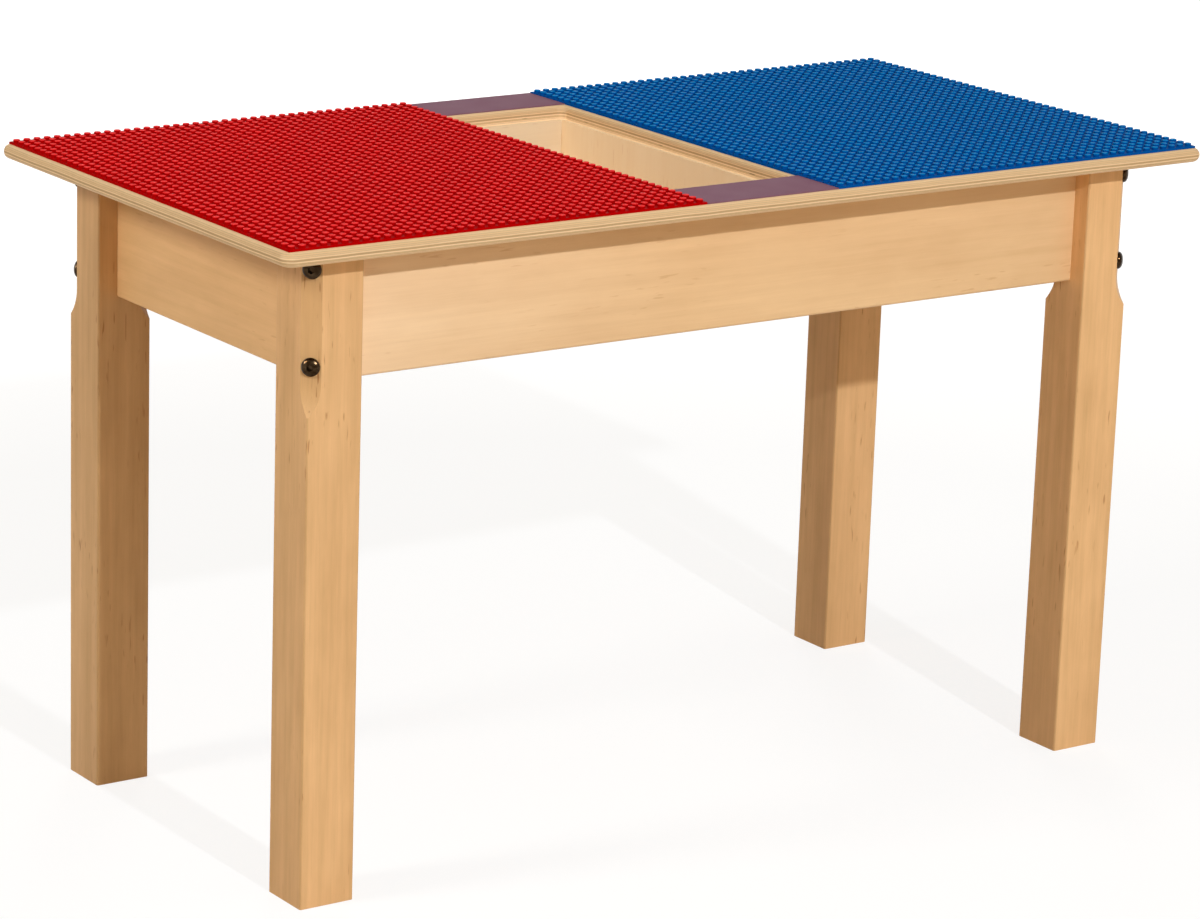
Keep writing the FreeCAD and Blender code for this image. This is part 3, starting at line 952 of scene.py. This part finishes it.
@dataclass(frozen=True)
class Lamp:
    """A studio lamp: a round area light aimed at a point."""

    name: str
    place: Place
    aim: Place
    width: float
    level: float
    colour: Colour = WHITE
    use: LampUse = LampUse.FULL

    def build(self) -> None:
        """Hang the lamp.

        Its power gives a white wall that faces it, at its aim, the lamp's level: power is pi
        squared times the level times the distance squared.
        """
        data = bpy.data.lights.new(self.name, "AREA")
        data.shape = "DISK"
        data.size = self.width
        data.color = self.colour
        path = Vector(self.aim) - Vector(self.place)
        data.energy = math.pi ** 2 * self.level * path.length_squared
        lamp = bpy.data.objects.new(self.name, data)
        lamp.location = self.place
        lamp.rotation_euler = path.to_track_quat("-Z", "Y").to_euler()
        lamp.visible_camera = False
        lamp.visible_diffuse = self.use is not LampUse.GLOSS
        lamp.visible_glossy = self.use is not LampUse.MATT
        bpy.context.scene.collection.objects.link(lamp)


# A small key before the left legs and a wider fill at the left, each with a broad card beside it
# that shows only as a highlight, and a soft lamp low behind the table.
FRONT_CORNER: Place = (-0.35, -0.16, 0.42)
LAMPS = (
    Lamp("key_lamp", place=(-0.36, -3.90, 2.36), aim=(0.0, -0.15, 0.42), width=0.10, level=0.53,
         colour=(0.93, 1.0, 1.08)),
    Lamp("fill_lamp", place=(-2.53, 0.15, 1.83), aim=(-0.33, 0.0, 0.40), width=0.65, level=0.42,
         colour=(0.96, 0.96, 0.90)),
    Lamp("key_card", place=(-0.10, -3.20, 2.30), aim=FRONT_CORNER, width=1.10, level=1.05,
         use=LampUse.GLOSS),
    Lamp("fill_card", place=(-3.00, 0.70, 1.70), aim=FRONT_CORNER, width=1.10, level=1.05,
         use=LampUse.GLOSS),
    Lamp("back_lamp", place=(1.80, 2.80, 0.95), aim=(0.10, 0.10, 0.35), width=1.40, level=0.32,
         use=LampUse.MATT),
)


def seen_directly(tree: bpy.types.NodeTree) -> Socket:
    """Whether a ray comes from the camera, a reflection or clear glass.

    Args:
        tree: The tree that the value goes into.

    Returns:
        A value of 1 on camera, glossy and transmission rays, and of 0 on the rest.
    """
    path = add_node(tree, "ShaderNodeLightPath").outputs
    total = path["Is Camera Ray"]
    for name in ("Is Glossy Ray", "Is Transmission Ray"):
        inputs = {0: total, 1: path[name]}
        total = add_node(tree, "ShaderNodeMath", inputs, operation="MAXIMUM").outputs[0]
    return total


@dataclass
class Studio:
    """A white floor and surround, the lamps and the camera.

    The floor's own white is floor_own up to the first fade radius and 1 past the second.
    """

    floor_half: float = 30.0
    floor_own: float = 0.80
    floor_lit: float = 0.24
    floor_fade: Band = (0.9, 2.6)
    floor_bounce: Colour = (0.60, 0.53, 0.44)
    surround: float = 0.38
    surround_tint: Colour = (1.0, 0.88, 0.72)
    surround_lean: Place = (0.52, -0.55, 0.0)
    lamps: tuple[Lamp, ...] = LAMPS
    azimuth: float = -35.102
    elevation: float = 15.397
    roll: float = 1.907
    camera_place: Place = (-1.79688, -2.55255, 1.08797)
    sensor: float = 36.0
    lens: float = 133.03

    def build_surround(self) -> None:
        """A world that is white to look at and gives a plain light, stronger from one side.

        Its strength is the surround's times one plus the lean's part along the direction.
        """
        world = bpy.data.worlds.new("surround")
        bpy.context.scene.world = world
        world.use_nodes = True
        tree = world.node_tree
        direction = add_node(tree, "ShaderNodeTexCoord").outputs["Generated"]
        inputs = {0: direction, 1: [self.surround * part for part in self.surround_lean]}
        lean = add_node(tree, "ShaderNodeVectorMath", inputs, operation="DOT_PRODUCT")
        inputs = {0: lean.outputs["Value"], 1: self.surround}
        level = add_node(tree, "ShaderNodeMath", inputs, operation="ADD").outputs[0]
        light = tree.nodes["Background"]
        feed(tree, light.inputs["Color"], opaque(self.surround_tint))
        feed(tree, light.inputs["Strength"], level)
        inputs = {"Color": opaque(WHITE), "Strength": 1.0}
        white = add_node(tree, "ShaderNodeBackground", inputs)
        inputs = {0: seen_directly(tree), 1: light.outputs[0], 2: white.outputs[0]}
        choice = add_node(tree, "ShaderNodeMixShader", inputs)
        feed(tree, tree.nodes["World Output"].inputs["Surface"], choice.outputs[0])

    def floor_material(self) -> bpy.types.Material:
        """The floor's finish.

        Returns:
            Partly its own white and partly lit, so that it keeps a soft shadow, white far off, and
            a plain tan in the light that it throws back.
        """
        material = bpy.data.materials.new("studio_floor")
        material.use_nodes = True
        tree = material.node_tree
        tree.nodes.remove(tree.nodes["Principled BSDF"])
        plain = add_node(tree, "ShaderNodeBsdfDiffuse", {"Color": opaque(self.floor_bounce)})
        lit = add_node(tree, "ShaderNodeBsdfDiffuse", {"Color": opaque((self.floor_lit,) * 3)})
        place = add_node(tree, "ShaderNodeTexCoord").outputs["Object"]
        reach = add_node(tree, "ShaderNodeVectorMath", {0: place}, operation="LENGTH")
        fade = (reach.outputs["Value"], *self.floor_fade, self.floor_own, 1.0)
        strength = add_node(tree, "ShaderNodeMapRange", dict(zip(RANGE_SOCKETS, fade))).outputs[0]
        own = add_node(tree, "ShaderNodeEmission", {"Strength": strength})
        both = add_node(tree, "ShaderNodeAddShader", {0: lit.outputs[0], 1: own.outputs[0]})
        inputs = {0: seen_directly(tree), 1: plain.outputs[0], 2: both.outputs[0]}
        choice = add_node(tree, "ShaderNodeMixShader", inputs)
        feed(tree, tree.nodes["Material Output"].inputs["Surface"], choice.outputs[0])
        return material

    def build_floor(self) -> None:
        """A wide pale floor."""
        reach = self.floor_half
        corners = [(sx * reach, sy * reach, 0.0) for sx, sy in CORNERS.values()]
        mesh = bpy.data.meshes.new("studio_floor")
        mesh.from_pydata(corners, [], [(0, 1, 2, 3)])
        mesh.materials.append(self.floor_material())
        floor = bpy.data.objects.new("studio_floor", mesh)
        bpy.context.scene.collection.objects.link(floor)

    def build_camera(self) -> None:
        """A long lens at the photograph's place, turned by azimuth and elevation, then rolled."""
        turn, rise = math.radians(self.azimuth), math.radians(self.elevation)
        level = math.cos(rise)
        back = Vector((math.sin(turn) * level, -math.cos(turn) * level, math.sin(rise)))
        right = (-back).cross(Vector((0.0, 0.0, 1.0))).normalized()
        axes = Matrix((right, back.cross(right), back)).transposed()
        data = bpy.data.cameras.new("camera")
        data.sensor_width = self.sensor
        data.lens = self.lens
        camera = bpy.data.objects.new("camera", data)
        camera.matrix_world = (Matrix.Translation(self.camera_place) @ axes.to_4x4()
                               @ Matrix.Rotation(math.radians(self.roll), 4, "Z"))
        bpy.context.scene.collection.objects.link(camera)
        bpy.context.scene.camera = camera

    def build(self) -> None:
        """Set up the studio."""
        self.build_surround()
        self.build_floor()
        for lamp in self.lamps:
            lamp.build()
        self.build_camera()
        bpy.context.scene.view_settings.view_transform = "Standard"


def main() -> None:
    """Load the frame, build and dress every piece, and set up the studio."""
    logging.basicConfig(level=logging.INFO, format="%(name)s %(message)s")
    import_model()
    StudFields().build()
    bolts = LegBolts()
    bolts.dress(bolts.build(), BRONZED_STEEL.material())
    WoodenFrame().dress()
    TopAndWell().dress()
    Studio().build()


if __name__ == "__main__":
    main()
